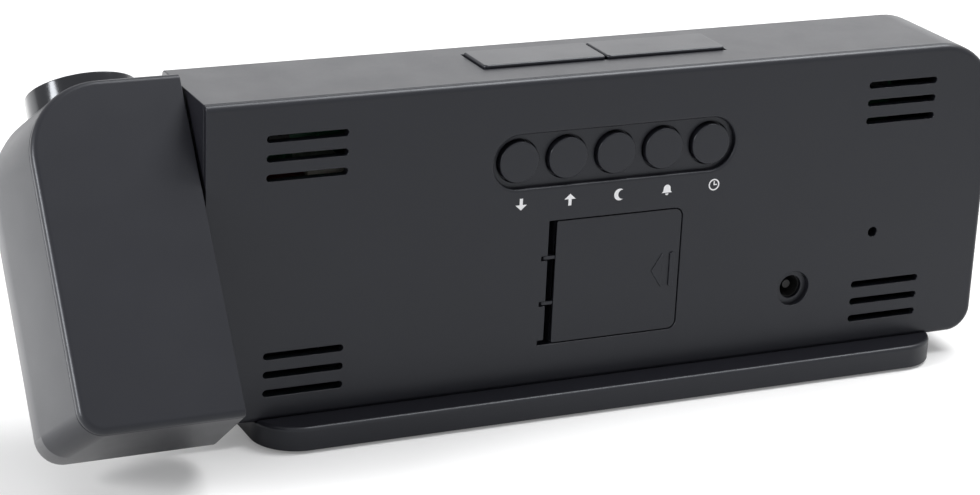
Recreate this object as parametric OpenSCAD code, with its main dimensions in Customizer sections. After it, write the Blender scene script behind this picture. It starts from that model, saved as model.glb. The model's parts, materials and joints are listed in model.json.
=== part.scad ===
// Projection alarm clock: a long flat clock on a foot bar, with a tilting projector at one end.
// Millimetres. X runs along the clock towards the projector, Y from the display to the rear, Z up.
// The origin is the middle of the foot's resting face. The front shows the display, the rear the keys.

/* [Body] */
// Length of the clock body, without the projector
body_l = 164; // [156:1:180]
// Height of the clock body, without its foot
body_h = 60.8; // [58:0.2:68]
// Depth of the clock body, front to rear
body_d = 24.8; // [24:0.2:28]
// Wall of the housings
wall = 2; // [1.6:0.1:2.4]
// Thickness of the front wall that carries the display window
front_wall = 2.8; // [2.4:0.1:3.4]
// Thickness of the rear cover's plate
cover_t = 2; // [1.8:0.1:2.4]
// Part of the rear cover that shows outside the seam
cover_rim = 1.25; // [1.2:0.05:1.6]
// Radius that softens the front and rear edges
edge_r = 1.2; // [0.6:0.1:1.2]
// Radius of the upper corner at the end away from the projector
corner_top_r = 12.5; // [8:0.5:16]
// Radius of the lower corner at the end away from the projector
corner_low_r = 5; // [4:0.5:9]
// Width of the shadow groove along each seam
groove_w = 0.25; // [0.15:0.05:0.4]
// Depth of the shadow groove along each seam
groove_d = 0.8; // [0.4:0.1:1]

/* [Foot] */
// Half length of the foot bar
foot_reach = 72.2; // [68:0.2:78]
// How far the foot bar stands out in front of and behind the body
foot_lip = 6.3; // [4:0.1:9]
// Thickness of the foot bar
foot_h = 3.9; // [3.6:0.1:5]
// How far the foot bar's rims rise in front of and behind the body
foot_rise = 0.7; // [0.3:0.1:1.2]
// Radius of the foot bar's corners seen from above
foot_corner_r = 8.5; // [5:0.5:12]
// Radius along the foot bar's upper edge
foot_edge_r = 0.8; // [0.4:0.1:1.2]
// Length of the non-slip strip under the foot bar
pad_l = 128; // [120:1:134]
// Width of the non-slip strip
pad_w = 26; // [18:0.5:28]
// Thickness of the non-slip strip
pad_t = 1; // [0.8:0.1:1.2]
// How far the strip stands below the foot bar
pad_proud = 0.5; // [0.3:0.1:0.6]
// Distance between neighbouring foot screws
foot_screw_pitch = 52; // [40:1:56]

/* [Rear keys] */
// Diameter of a rear button
button_d = 8; // [7:0.1:8.6]
// Distance between neighbouring rear buttons
button_pitch = 10; // [10:0.1:11]
// Middle of the button row along the body, towards the projector
button_row_x = 1.3; // [-4:0.1:6]
// Height of the button row above the body's underside
button_row_h = 45.1; // [44:0.1:48]
// Depth of the long recess around the buttons
key_recess = 1.3; // [0.8:0.1:1.4]
// Radius of the long recess around the buttons
key_recess_r = 5.2; // [4.9:0.1:6]
// Gap around each button
button_gap = 0.2; // [0.15:0.05:0.3]
// How far a button goes in
key_travel = 0.35; // [0.25:0.05:0.4]

/* [Top pads] */
// Length of the two top pads together
top_pads_l = 50.5; // [46:0.5:54]
// Width of the top pads, front to rear
top_pads_w = 10; // [8:0.2:11]
// Middle of the top pads, measured back from the middle of the body
top_pads_y = -1.6; // [-2.4:0.1:0]
// How far the pads stand above the body
top_pad_rise = 0.6; // [0.5:0.1:1]
// Thickness of a pad
top_pad_t = 2.5; // [2.2:0.1:3]

/* [Vents] */
// Length of one ventilation slot
vent_l = 15.4; // [12:0.2:18]
// Width of one ventilation slot
vent_w = 1.3; // [1:0.1:1.6]
// Distance between neighbouring slots
vent_pitch = 3.6; // [3:0.1:4]
// Slots in one group
vent_count = 3; // [2:1:3]
// Distance of the vent groups from the projector end
vent_near = 19; // [17:0.5:22]
// Distance of the vent groups from the other end
vent_far = 21.5; // [20:0.5:24]
// Height of the lower groups above the body's underside
vent_low = 9.2; // [8.8:0.2:11]
// Distance of the upper groups below the body's top
vent_top = 10.5; // [9:0.5:12]

/* [Battery bay] */
// Length of the battery opening
bay_l = 28.2; // [27.4:0.2:31]
// Height of the battery opening
bay_h = 24.7; // [24.3:0.1:27]
// Middle of the battery opening along the body
bay_x = 0.5; // [-3:0.1:5]
// Height of the battery opening's middle above the body's underside
bay_mid_h = 20.7; // [20:0.1:23]
// Open slot beside the lid, where its tabs cross
lid_slot = 1.65; // [1.5:0.05:2]
// Thickness of the battery lid
lid_t = 1.2; // [1:0.05:1.4]
// Gap around the lid
lid_gap = 0.2; // [0.15:0.05:0.3]
// Distance between the lid's two tabs
lid_tab_pitch = 9.1; // [8:0.1:10]
// Middle of the lid's tabs above the opening's middle
lid_tab_rise = 0.45; // [-1:0.05:1]
// Width of one lid tab
lid_tab_w = 0.7; // [0.6:0.05:1]
// Diameter of the coin cell
cell_d = 20; // [20:0.1:20.4]
// Thickness of the coin cell
cell_t = 3.2; // [3.1:0.05:3.3]

/* [Power inlet] */
// Distance of the power inlet from the middle, away from the projector
jack_out = 39.4; // [36:0.2:42]
// Height of the power inlet above the body's underside
jack_h = 13.6; // [13:0.1:16]
// Diameter of the recess around the inlet
jack_recess_d = 7; // [6:0.1:8]
// Depth of the recess around the inlet
jack_recess_t = 1.1; // [0.8:0.1:1.4]
// Bore of the barrel socket
jack_bore_d = 4.4; // [4.2:0.1:4.8]
// Diameter of the socket's centre pin
jack_pin_d = 1.65; // [1.3:0.05:2]
// Side of the socket's square block
jack_side = 9; // [8:0.2:10]
// Length of the socket's block
jack_l = 10; // [9:0.2:10.4]

/* [Buzzer] */
// Distance of the sound hole from the middle, away from the projector
buzzer_out = 56.6; // [55:0.2:60]
// Height of the sound hole above the body's underside
buzzer_h = 23.6; // [22:0.1:28]
// Diameter of the sound hole
sound_hole_d = 2; // [1.6:0.1:2.6]
// Diameter of the buzzer
buzzer_d = 12; // [9:0.5:12.5]
// Thickness of the buzzer
buzzer_t = 7.5; // [5:0.5:8]

/* [Display] */
// Frame around the display window
window_margin = 3; // [2:0.1:4]
// Thickness of the display window
window_t = 1.6; // [1.2:0.1:1.8]
// Height of a digit
digit_h = 34; // [28:0.5:36]
// Width of a digit
digit_w = 20; // [16:0.5:21]
// Width of a digit's segment
segment_w = 3.8; // [2.6:0.1:4.2]
// Gap between the tips of neighbouring segments
segment_gap = 0.9; // [0.6:0.1:1.4]
// Distance between neighbouring digits
digit_pitch = 30; // [28:0.5:31]
// Thickness of the light mask around the segments
mask_t = 6; // [5:0.2:6.4]
// Thickness of a segment's light bar
light_bar_t = 2.5; // [2:0.1:3]
// Diameter of the colon's dots
colon_d = 4; // [3:0.2:5]
// Thickness of the circuit boards
board_t = 1.6; // [1.2:0.1:1.6]

/* [Projector] */
// Gap between the body and the projector
proj_gap = 0.6; // [0.5:0.1:1]
// Width of the projector at its rear face
proj_w = 29; // [27:0.5:32]
// How far the projector's outer end bulges past its rear face
proj_bulge = 3.1; // [2:0.1:4.4]
// Height of the projector
proj_h = 63; // [60:0.2:66]
// How far the projector hangs below the body's underside when upright
proj_drop = 0.9; // [0.2:0.1:1.2]
// Radius of the projector's upper outer corner
proj_top_r = 14; // [12:0.5:16]
// Radius of the projector's lower outer corner
proj_low_r = 4.5; // [4:0.5:7]
// Radius of the projector's front edges
proj_front_r = 5; // [3:0.5:6]
// Wall of the projector's shell
proj_wall = 1.8; // [1.5:0.1:2]
// Height of the pivot above the body's underside
pivot_h = 43.2; // [42.6:0.2:46]
// How far behind the body's middle the pivot lies
pivot_back = 3.7; // [2.5:0.1:4]
// Tilt of the projector from upright, with its top towards the front
proj_tilt = 37; // [-90:1:90]
// Diameter of the hollow pivot shaft
shaft_d = 10; // [9:0.1:10.4]
// Bore of the hollow pivot shaft
shaft_bore_d = 6; // [5:0.1:6.4]
// Running gap between the shaft and its bearing
shaft_gap = 0.05; // [0.03:0.01:0.08]
// Diameter of the round collar on the projector
collar_d = 20.3; // [19.6:0.1:22]
// How far the collar stands above the projector's top
collar_rise = 2.2; // [1.8:0.1:4]
// Middle of the collar, measured from the projector's inner face
collar_x = 14.6; // [14:0.1:15.4]
// Diameter of the projection lens
lens_d = 11; // [10:0.1:11.2]
// Thickness of the projection lens at its middle
lens_t = 4.4; // [3.6:0.2:4.8]
// How far the lens cell moves each way from the middle of its travel
focus_travel = 1.5; // [0.8:0.1:1.6]

/* [Hidden] */

round_fn = 64;      // sides a full circle is drawn with
form_fn = 40;       // sides of the rounded forms that are hulled
cut = 1;            // how far a cutting shape reaches past what it cuts
fit = 0.1;          // side clearance between pieces that seat in each other
tap_fit = 0.05;     // clearance of a screw in its hole

shell_black = [0.13, 0.13, 0.145];
key_black = [0.1, 0.1, 0.11];
board_green = [0.08, 0.3, 0.16];
steel = [0.75, 0.75, 0.77];
part_black = [0.06, 0.06, 0.065];

// Body
base_z = pad_proud + foot_h;
top_z = base_z + body_h;
mid_z = base_z + body_h / 2;
rear_y = body_d / 2;
seam_y = rear_y - cover_rim;
cover_in_y = rear_y - cover_t;
front_in_y = -rear_y + front_wall;
body_r = [0, corner_top_r, corner_low_r, 0];
lip_t = 1.2;
lip_h = 2.2;
snap_l = 8;
snap_rise = 0.4;
snap_pitch = 50;
snap_shift = -6;    // the row of beads stands away from the bearing
snap_w = 1;

// Display, from the front backwards
window_l = body_l - 2 * window_margin;
window_h = body_h - 2 * window_margin;
window_r = [1.5, corner_top_r - window_margin, max(corner_low_r - window_margin, 1), 1.5];
colon_room = 3;     // extra distance between the middle digits
digits_l = 3 * digit_pitch + colon_room + digit_w;
mask_edge = 4;      // rim of the mask around the digits
mask_l = digits_l + 2 * mask_edge;
mask_h = digit_h + 2 * mask_edge;
mask_seat = 2;      // width of the front wall that the mask rests on
board_y = front_in_y + mask_t;
board_rear_y = board_y + board_t;
post_d = 5;
post_out = mask_l / 2 + post_d / 2 + 0.6;
post_up = mask_h / 2 - 2;
board_l = 2 * post_out + post_d + 2;
board_h = mask_h + 2;
screw_d = 2;
screw_head_d = 4;
screw_head_t = 1.3;
led_size = [2, 1, 1.2];
lead_end = post_out - post_d / 2 - 0.6;     // where the projector's lead is plugged in

// Rear keys, from the outside inwards
button_z = base_z + button_row_h;
button_top_y = rear_y - 0.1;
button_soft = 0.3;
flange_t = 0.8;
flange_d = button_pitch - 0.6;
flange_y = cover_in_y - fit;
switch_side = 6;
switch_h = 3.4;
plunger_d = 3.4;
plunger_rise = 0.9;
plunger_in = 1.2;
key_board_y = 2.1;
switch_y = key_board_y + board_t;
plunger_y = switch_y + switch_h + plunger_rise;
key_board_h = 12;
key_post_out = 2 * button_pitch + flange_d / 2 + post_d / 2 + 4 * fit;
key_board_l = 2 * key_post_out + post_d + 1;

// Top pads
pads_mid_y = top_pads_y;
pad_split = 0.3;
pad_len = (top_pads_l - pad_split) / 2;
pad_low_z = top_z + top_pad_rise - top_pad_t;
pad_flange_t = 0.8;
pad_flange_z = top_z - wall - fit - pad_flange_t;
pad_flange_lip = 1.2;
top_switch_w = 3.6;
top_switch_h = 6;
top_plunger_d = 3;
top_plunger_y = board_rear_y + top_switch_w / 2;
top_switch_z = mid_z + board_h / 2 + 1.4;
top_plunger_z = top_switch_z + plunger_rise;

// Battery bay
bay_z = base_z + bay_mid_h;
bay_end = bay_x + bay_l / 2;
bay_start = bay_x - bay_l / 2;
bay_r = [0.6, 1.8, 1.8, 0.6];
lid_sunk = 0.1;
lid_y = rear_y - lid_sunk - lid_t;
lid_l = bay_l - lid_gap - lid_slot;
lid_h = bay_h - 2 * lid_gap;
lid_x = bay_start + lid_gap + lid_l / 2;
tab_t = 0.9;
tab_y = lid_y + 0.05 + tab_t / 2;
tab_x = bay_end + 0.35;
tab_slit = 1.3;
tab_slit_h = lid_tab_w + 2 * fit;
tab_room = 0.6;
lid_mark_t = 0.2;
lid_ridge_t = 0.3;
cell_x = bay_x - 0.4;
cell_y = lid_y - 0.5 - cell_t;
contact_t = 0.3;
pocket_y = cell_y - 0.6;
tray_t = 1.4;
tray_y = pocket_y - tray_t;

// Power inlet and buzzer
jack_x = -jack_out;
jack_z = base_z + jack_h;
jack_rib_t = 1.2;
jack_rib_l = 6;
buzzer_x = -buzzer_out;
buzzer_z = base_z + buzzer_h;
buzzer_ring_t = 1;
buzzer_ring_h = 2.5;

// Foot
foot_l = 2 * foot_reach;
foot_w = body_d + 2 * foot_lip;
foot_screw_d = 2.9;
foot_head_d = 5.4;
foot_head_t = 1.6;
foot_head_z = pad_t + tap_fit;
foot_boss_d = 6.4;
foot_boss_h = 5.4;
foot_screw_l = 7.6;

// Projector
proj_x = body_l / 2 + proj_gap;
proj_z = base_z - proj_drop;
proj_top = proj_z + proj_h;
pivot_y = pivot_back;
pivot_z = base_z + pivot_h;
proj_r = [0, proj_top_r, proj_low_r, 0];
shaft_inside = 8.6;     // reach of the shaft past the body's end face
bearing_l = 3;
bearing_d = min(shaft_d + 6, 2 * (cover_in_y - fit - pivot_back));
shaft_flange_d = shaft_d + 4;
shaft_flange_t = 1.6;
washer_t = 0.8;
ring_t = 1;
ring_groove = 0.8;
thrust_ring_d = shaft_d + 4;
lens_x = proj_x + collar_x;
collar_top = proj_top + collar_rise;
collar_wall = 1.65;
collar_l = 8.5;
ring_bore_d = collar_d - 2 * collar_wall;
ring_z = collar_top - collar_l;
ring_top = collar_top - 0.5;
ring_flange_d = ring_bore_d + 1.8;
ring_flange_t = 1;
cell_tube_d = lens_d + 2.4;
cell_tube_l = 6;
lens_seat = 1;
cell_tube_z = ring_z + 0.5 * (ring_top - ring_z - cell_tube_l);
tube_top = ring_z - fit;
tube_l = 9.7;
tube_d = 16;
lcd_t = 1.4;
lcd_z = tube_top - tube_l - lcd_t;
lamp_side = 16;
lamp_l = 12;
lamp_z = lcd_z - lamp_l;
proj_board_z = lamp_z - board_t;
proj_board_w = 18;
condenser_d = 11;
led_d = 5;
lead_d = 2.4;
lead_x = proj_x + proj_wall + shaft_flange_t + lead_d / 2 + 3 * fit;
shelf_h = 2;
proj_lip_h = 1.4;

function shrink(r, d) = [for (k = r) k > 0 ? max(k - d, 0.4) : 0];
function corner_sign(i) = [[1, 1], [-1, 1], [-1, -1], [1, -1]][i];
function outline_points(l, w, r) = [
    for (i = [0:3])
        let (s = corner_sign(i),
             along = [s[0] * (l / 2 - r[i]), s[1] * w / 2],
             across = [s[0] * l / 2, s[1] * (w / 2 - r[i])],
             pair = (i % 2 == 0) ? [across, along] : [along, across])
        each (r[i] > 0 ? pair : [[s[0] * l / 2, s[1] * w / 2]])
];

// Rectangle with its own radius at each corner: upper right, upper left, lower left, lower right
module outline(l, w, r) {
    polygon(outline_points(l, w, r));
    for (i = [0:3])
        if (r[i] > 0)
            intersection() {
                translate([corner_sign(i)[0] * (l / 2 - r[i]), corner_sign(i)[1] * (w / 2 - r[i])])
                    circle(r[i], $fn = round_fn);
                // A corner wider than half the length stays behind the right-hand end
                translate([-l / 2 - cut, -w / 2 - cut]) square([l + cut, w + 2 * cut]);
            }
}

// Half section of a rim, with its lower and upper outer edges rounded
module rim_profile(reach, h, low, high) {
    difference() {
        square([reach, h]);
        if (low > 0)
            translate([reach - low, low])
                difference() {
                    translate([0, -low - cut]) square([low + cut, low + cut]);
                    circle(low, $fn = round_fn);
                }
        if (high > 0)
            translate([reach - high, h - high])
                difference() {
                    square([high + cut, high + cut]);
                    circle(high, $fn = round_fn);
                }
    }
}

// Block on the XY plane with rounded corners and soft lower and upper edges.
// Where the right-hand corners have no radius, that end stays flat and sharp.
module soft_block(l, w, h, r, low = 0, high = 0) {
    e = max(low, high);
    flat_end = r[0] == 0;
    core_l = flat_end ? l - e : l - 2 * e;
    translate([flat_end ? e / 2 : 0, 0, 0])
        linear_extrude(h)
            outline(core_l, w - 2 * e, [for (k = r) max(k - e, 0)]);
    for (i = [0:3])
        if (r[i] > 0)
            translate([corner_sign(i)[0] * (l / 2 - r[i]), corner_sign(i)[1] * (w / 2 - r[i]), 0])
                rotate(90 * i)
                    rotate_extrude(angle = 90, $fn = round_fn) rim_profile(r[i], h, low, high);
    for (s = [1, -1]) {
        left = s > 0 ? r[1] : r[2];
        right = s > 0 ? r[0] : r[3];
        translate([-l / 2 + left, s * (w / 2 - e), 0])
            rotate([90, 0, 90])
                linear_extrude(l - left - right) scale([s, 1]) rim_profile(e, h, low, high);
    }
    for (s = flat_end ? [-1] : [1, -1]) {
        near = s > 0 ? r[3] : r[2];
        far = s > 0 ? r[0] : r[1];
        translate([s * (l / 2 - e), w / 2 - far, 0])
            rotate([90, 0, 0])
                linear_extrude(w - near - far) scale([s, 1]) rim_profile(e, h, low, high);
    }
}

module soft_disc(d, h, high) {
    rotate_extrude($fn = round_fn) rim_profile(d / 2, h, 0, high);
}

// Child drawn on the XY plane, stood up with its lower side at y and its upper side to the front
module standing(y, z = mid_z) translate([0, y, z]) rotate([90, 0, 0]) children();

// Round bars along the three axes, from the given point onwards
module bar_x(p, d, h) translate(p) rotate([0, 90, 0]) cylinder(h = h, d = d, $fn = round_fn);
module bar_y(p, d, h) translate(p) rotate([-90, 0, 0]) cylinder(h = h, d = d, $fn = round_fn);
module bar_z(p, d, h) translate(p) cylinder(h = h, d = d, $fn = round_fn);

// Cut for a cross-head driver, across a screw that points along Y
module cross_slot(l) {
    for (a = [0, 90]) rotate([0, a, 0]) cube([l, 1, l / 4], center = true);
}

module slot(l, w) {
    square([l - w, w], center = true);
    for (s = [1, -1]) translate([s * (l - w) / 2, 0]) circle(d = w, $fn = round_fn);
}

// ---------------------------------------------------------------- body shells

module body_outline(inset) {
    outline(body_l - 2 * inset, body_h - 2 * inset, shrink(body_r, inset));
}

module snap_beads(grow) {
    for (s = [1, -1], k = [-1, 0, 1])
        translate([k * snap_pitch + snap_shift, cover_in_y - lip_h / 2,
            mid_z + s * (body_h / 2 - wall - fit)])
            cube([snap_l + 2 * grow, snap_w + 2 * grow, 2 * (snap_rise + grow)], center = true);
}

module at_posts() {
    for (sx = [1, -1], sz = [1, -1]) translate([sx * post_out, 0, mid_z + sz * post_up]) children();
}

module at_foot_screws() {
    for (k = [-1, 0, 1]) translate([k * foot_screw_pitch, 0, 0]) children();
}

module front_housing() {
    color(shell_black) difference() {
        union() {
            difference() {
                union() {
                    standing(seam_y - groove_w)
                        soft_block(body_l, body_h, rear_y + seam_y - groove_w, body_r, 0, edge_r);
                    standing(seam_y) linear_extrude(groove_w + cut) body_outline(groove_d);
                }
                standing(seam_y + cut) linear_extrude(seam_y + cut - front_in_y) body_outline(wall);
            }
            at_posts() bar_y([0, front_in_y - fit, 0], post_d, mask_t + fit);
            at_foot_screws() bar_z([0, 0, base_z + wall - fit], foot_boss_d, foot_boss_h + fit);
            bar_x([body_l / 2 - wall - bearing_l, pivot_y, pivot_z], bearing_d, bearing_l + wall / 2);
        }
        standing(-rear_y + window_t)
            linear_extrude(window_t + cut) outline(window_l, window_h, window_r);
        translate([0, -rear_y, mid_z])
            cube([mask_l - 2 * mask_seat, 2 * front_wall + cut, mask_h - 2 * mask_seat], center = true);
        translate([0, pads_mid_y, top_z])
            cube([top_pads_l + 2 * button_gap, top_pads_w + 2 * button_gap, 2 * wall + cut],
                center = true);
        bar_x([body_l / 2 - wall - bearing_l - cut, pivot_y, pivot_z], shaft_d + 2 * shaft_gap,
            wall + bearing_l + 2 * cut);
        at_posts() bar_y([0, front_in_y + 1, 0], screw_d + 2 * tap_fit, mask_t);
        at_foot_screws() bar_z([0, 0, base_z - cut], foot_screw_d + 2 * tap_fit, wall + foot_boss_h);
        snap_beads(fit);
    }
}

module at_buttons() {
    for (i = [0:4]) translate([button_x(i), 0, button_z]) children();
}
function button_x(i) = button_row_x + (2 - i) * button_pitch;

module vent_group(x, z) {
    for (k = [0:vent_count - 1])
        translate([x, rear_y + cut, z + (k - (vent_count - 1) / 2) * vent_pitch])
            rotate([90, 0, 0]) linear_extrude(cover_t + 2 * cut) slot(vent_l, vent_w);
}

// Middle height of the upper tab (s = 1) or the lower tab (s = -1)
function tab_z(s) = bay_z + lid_tab_rise + s * lid_tab_pitch / 2;

module cell_tray() {
    translate([bay_x, (tray_y + cover_in_y + 0.5) / 2, bay_z])
        cube([bay_l + 3, cover_in_y + 0.5 - tray_y, bay_h + 2], center = true);
}

module cell_bay_cut() {
    standing(rear_y + cut, bay_z)
        translate([bay_x, 0, 0]) linear_extrude(rear_y + cut - lid_y) outline(bay_l, bay_h, bay_r);
    // Slits of the lid's tabs, and the notch at the lower corner
    for (z = [tab_z(1), tab_z(-1), bay_z - bay_h / 2 + tab_slit_h / 2])
        translate([bay_end - tab_slit / 2, lid_y - tab_room, z - tab_slit_h / 2])
            cube([1.5 * tab_slit, rear_y, tab_slit_h]);
    // Well under the open slot
    translate([bay_end - lid_slot, pocket_y, bay_z - bay_h / 2]) cube([lid_slot, rear_y, bay_h]);
    bar_y([cell_x, pocket_y, bay_z], cell_d + 4 * fit, cell_t + 3);
    // Finger notch beside the cell
    bar_y([cell_x - cell_d / 2 + 1, pocket_y + 1, bay_z], 6, cell_t + 3);
}

module rear_cover() {
    color(shell_black) difference() {
        union() {
            standing(rear_y) soft_block(body_l, body_h, cover_rim, body_r, edge_r, 0);
            standing(seam_y + cut / 4)
                linear_extrude(cover_t - cover_rim + cut / 4) body_outline(wall + fit);
            difference() {
                union() {
                    standing(cover_in_y + cut / 4)
                        linear_extrude(lip_h + cut / 4) body_outline(wall + fit);
                    snap_beads(0);
                }
                standing(cover_in_y + cut)
                    linear_extrude(lip_h + 2 * cut) body_outline(wall + fit + lip_t);
                // The lip stays clear of the projector's bearing
                translate([body_l / 2 - wall - fit - 2 * lip_t, cover_in_y - lip_h - cut,
                        pivot_z - bearing_d / 2 - 2 * fit])
                    cube([3 * lip_t, lip_h + 2 * cut, bearing_d + 4 * fit]);
            }
            for (s = [1, -1])
                bar_y([button_row_x + s * key_post_out, switch_y, button_z], post_d,
                    cover_in_y - switch_y + fit);
            for (s = [1, -1])
                translate([jack_x + s * (jack_side / 2 + fit + jack_rib_t / 2),
                    cover_in_y - jack_rib_l / 2, jack_z])
                    cube([jack_rib_t, jack_rib_l + 2 * fit, jack_side], center = true);
            bar_y([buzzer_x, cover_in_y - buzzer_ring_h, buzzer_z],
                buzzer_d + 2 * fit + 2 * buzzer_ring_t, buzzer_ring_h + fit);
            cell_tray();
        }
        // Long recess and the holes of the rear buttons
        translate([button_row_x, rear_y + cut, button_z]) rotate([90, 0, 0])
            linear_extrude(key_recess + cut)
                slot(4 * button_pitch + 2 * key_recess_r, 2 * key_recess_r);
        at_buttons() bar_y([0, cover_in_y - cut, 0], button_d + 2 * button_gap, cover_t + 2 * cut);
        for (z = [base_z + vent_low, top_z - vent_top]) {
            vent_group(body_l / 2 - vent_near, z);
            vent_group(-body_l / 2 + vent_far, z);
        }
        for (s = [1, -1])
            bar_y([button_row_x + s * key_post_out, switch_y - cut, button_z], screw_d + 2 * tap_fit, 6);
        bar_y([jack_x, rear_y - jack_recess_t, jack_z], jack_recess_d, jack_recess_t + cut);
        bar_y([jack_x, cover_in_y - cut, jack_z], jack_bore_d + 2 * fit, cover_t + cut);
        bar_y([buzzer_x, cover_in_y - cut, buzzer_z], sound_hole_d, cover_t + 2 * cut);
        bar_y([buzzer_x, cover_in_y - buzzer_ring_h - cut, buzzer_z], buzzer_d + 2 * fit,
            buzzer_ring_h + cut);
        cell_bay_cut();
    }
}

// ---------------------------------------------------------------- display

module display_window() {
    color([0.05, 0.05, 0.06], 0.6)
        standing(-rear_y + window_t)
            linear_extrude(window_t)
                outline(window_l - 2 * fit, window_h - 2 * fit, shrink(window_r, fit));
}

function digit_x(i) = (i - 1.5) * digit_pitch + (i < 2 ? -1 : 1) * colon_room / 2;

// One segment: a bar with pointed ends, grown all round by g
module segment(l, g) {
    h = segment_w / 2 + g;
    e = l / 2 + g;
    polygon([[-e, 0], [-e + h, h], [e - h, h], [e, 0], [e - h, -h], [-e + h, -h]]);
}

// Places of the seven segments: across, up, turned, length
function segment_places() = let (
        w = digit_w - segment_w,
        h = digit_h - segment_w,
        flat_l = w - segment_gap,
        tall_l = h / 2 - segment_gap)
    [for (k = [-1, 0, 1]) [0, k * h / 2, 0, flat_l],
     for (sx = [1, -1], sz = [1, -1]) [sx * w / 2, sz * h / 4, 90, tall_l]];

module at_segments() {
    for (i = [0:3], p = segment_places()) translate([digit_x(i) + p[0], p[1]]) rotate(p[2]) {
        $segment_l = p[3];
        children();
    }
}

module all_segments(g) {
    at_segments() segment($segment_l, g);
    for (s = [1, -1]) translate([0, s * digit_h / 5]) circle(d = colon_d + 2 * g, $fn = round_fn);
}

module digit_segments() {
    color([0.85, 0.1, 0.08])
        standing(front_in_y + light_bar_t) linear_extrude(light_bar_t) all_segments(-fit / 2);
}

module light_mask() {
    color([0.9, 0.9, 0.9])
        standing(board_y) difference() {
            linear_extrude(mask_t) square([mask_l, mask_h], center = true);
            translate([0, 0, -cut]) linear_extrude(mask_t + 2 * cut) all_segments(0);
        }
}

module display_leds() {
    color([0.95, 0.9, 0.6])
        standing(board_y) {
            at_segments() translate([0, 0, led_size[2] / 2]) cube(led_size, center = true);
            for (s = [1, -1])
                translate([0, s * digit_h / 5, led_size[2] / 2]) cube(led_size, center = true);
        }
}

module main_board() {
    color(board_green) difference() {
        translate([-board_l / 2, board_y, mid_z - board_h / 2]) cube([board_l, board_t, board_h]);
        at_posts() bar_y([0, board_y - cut, 0], screw_d + 4 * fit, board_t + 2 * cut);
    }
}

module controller_chip() {
    chip_l = 17.9;
    chip_h = 7.5;
    color(part_black) translate([-board_l / 4, board_rear_y, mid_z - chip_h / 2]) {
        cube([chip_l, 2, chip_h]);
        for (k = [0:9], s = [0, 1])
            translate([0.9 + k * 1.7, 0, s * (chip_h + 1) - 1]) cube([0.5, 0.5, 1]);
    }
}

module quartz_crystal() {
    can_d = 3;
    can_l = 8.2;
    color(steel) bar_x([-board_l / 3, board_rear_y + can_d / 2, mid_z - board_h / 5], can_d, can_l);
}

module board_screws() {
    color(steel) at_posts() difference() {
        union() {
            bar_y([0, board_rear_y, 0], screw_head_d, screw_head_t);
            bar_y([0, board_rear_y - 6, 0], screw_d, 6 + fit);
        }
        translate([0, board_rear_y + screw_head_t, 0]) cross_slot(screw_head_d * 0.65);
    }
}

module lead_connector() {
    block = 7;
    color([0.92, 0.9, 0.84])
        translate([lead_end - block, board_rear_y, pivot_z - block / 2])
            cube([block, pivot_y + lead_d - board_rear_y, block]);
}

// ---------------------------------------------------------------- rear keys

module key_board() {
    color(board_green) difference() {
        translate([button_row_x - key_board_l / 2, key_board_y, button_z - key_board_h / 2])
            cube([key_board_l, board_t, key_board_h]);
        for (s = [1, -1])
            bar_y([button_row_x + s * key_post_out, key_board_y - cut, button_z], screw_d + 4 * fit,
                board_t + 2 * cut);
    }
}

module key_board_screws() {
    color(steel)
        for (s = [1, -1]) translate([button_row_x + s * key_post_out, key_board_y, button_z]) {
            bar_y([0, -screw_head_t, 0], screw_head_d, screw_head_t);
            bar_y([0, -fit, 0], screw_d, 6);
        }
}

module rear_switches() {
    color(part_black) at_buttons() difference() {
        translate([0, switch_y + switch_h / 2, 0])
            cube([switch_side, switch_h, switch_side], center = true);
        bar_y([0, plunger_y - plunger_rise - plunger_in - 2 * key_travel, 0],
            plunger_d + 2 * tap_fit, switch_h);
    }
}

module rear_button(i) {
    color(key_black) translate([button_x(i), 0, button_z]) {
        translate([0, flange_y - flange_t, 0]) rotate([-90, 0, 0])
            soft_disc(button_d, button_top_y - flange_y + flange_t, button_soft);
        bar_y([0, flange_y - flange_t, 0], flange_d, flange_t);
        bar_y([0, plunger_y, 0], plunger_d - 0.4, flange_y - flange_t - plunger_y + fit);
    }
}

module rear_plunger(i) {
    color([0.8, 0.78, 0.72])
        bar_y([button_x(i), plunger_y - plunger_rise - plunger_in, button_z], plunger_d,
            plunger_rise + plunger_in);
}

module down_button() rear_button(0);
module up_button() rear_button(1);
module snooze_button() rear_button(2);
module alarm_button() rear_button(3);
module set_button() rear_button(4);
module down_plunger() rear_plunger(0);
module up_plunger() rear_plunger(1);
module snooze_plunger() rear_plunger(2);
module alarm_plunger() rear_plunger(3);
module set_plunger() rear_plunger(4);

// ---------------------------------------------------------------- top pads

// side is 1 for the pad nearer the projector and -1 for the other
module top_pad(side) {
    mid_x = side * (pad_len + pad_split) / 2;
    color(key_black) {
        translate([mid_x, pads_mid_y, pad_low_z])
            soft_block(pad_len, top_pads_w, top_pad_t, [0.8, 0.8, 0.8, 0.8], 0, 0.4);
        translate([mid_x + side * pad_flange_lip / 2, pads_mid_y, pad_flange_z + pad_flange_t / 2])
            cube([pad_len + pad_flange_lip, top_pads_w + 2 * pad_flange_lip, pad_flange_t], center = true);
        translate([mid_x, pads_mid_y, pad_flange_z])
            translate([-pad_len / 2 + 2, -top_pads_w / 2 + 2, 0])
                cube([pad_len - 4, top_pads_w - 4, pad_low_z - pad_flange_z + fit]);
        bar_z([mid_x, top_plunger_y, top_plunger_z], top_plunger_d - 0.6,
            pad_flange_z - top_plunger_z + fit);
    }
}

module top_plunger(side) {
    color([0.8, 0.78, 0.72])
        bar_z([side * (pad_len + pad_split) / 2, top_plunger_y, top_switch_z - plunger_in], top_plunger_d,
            plunger_in + plunger_rise);
}

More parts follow.
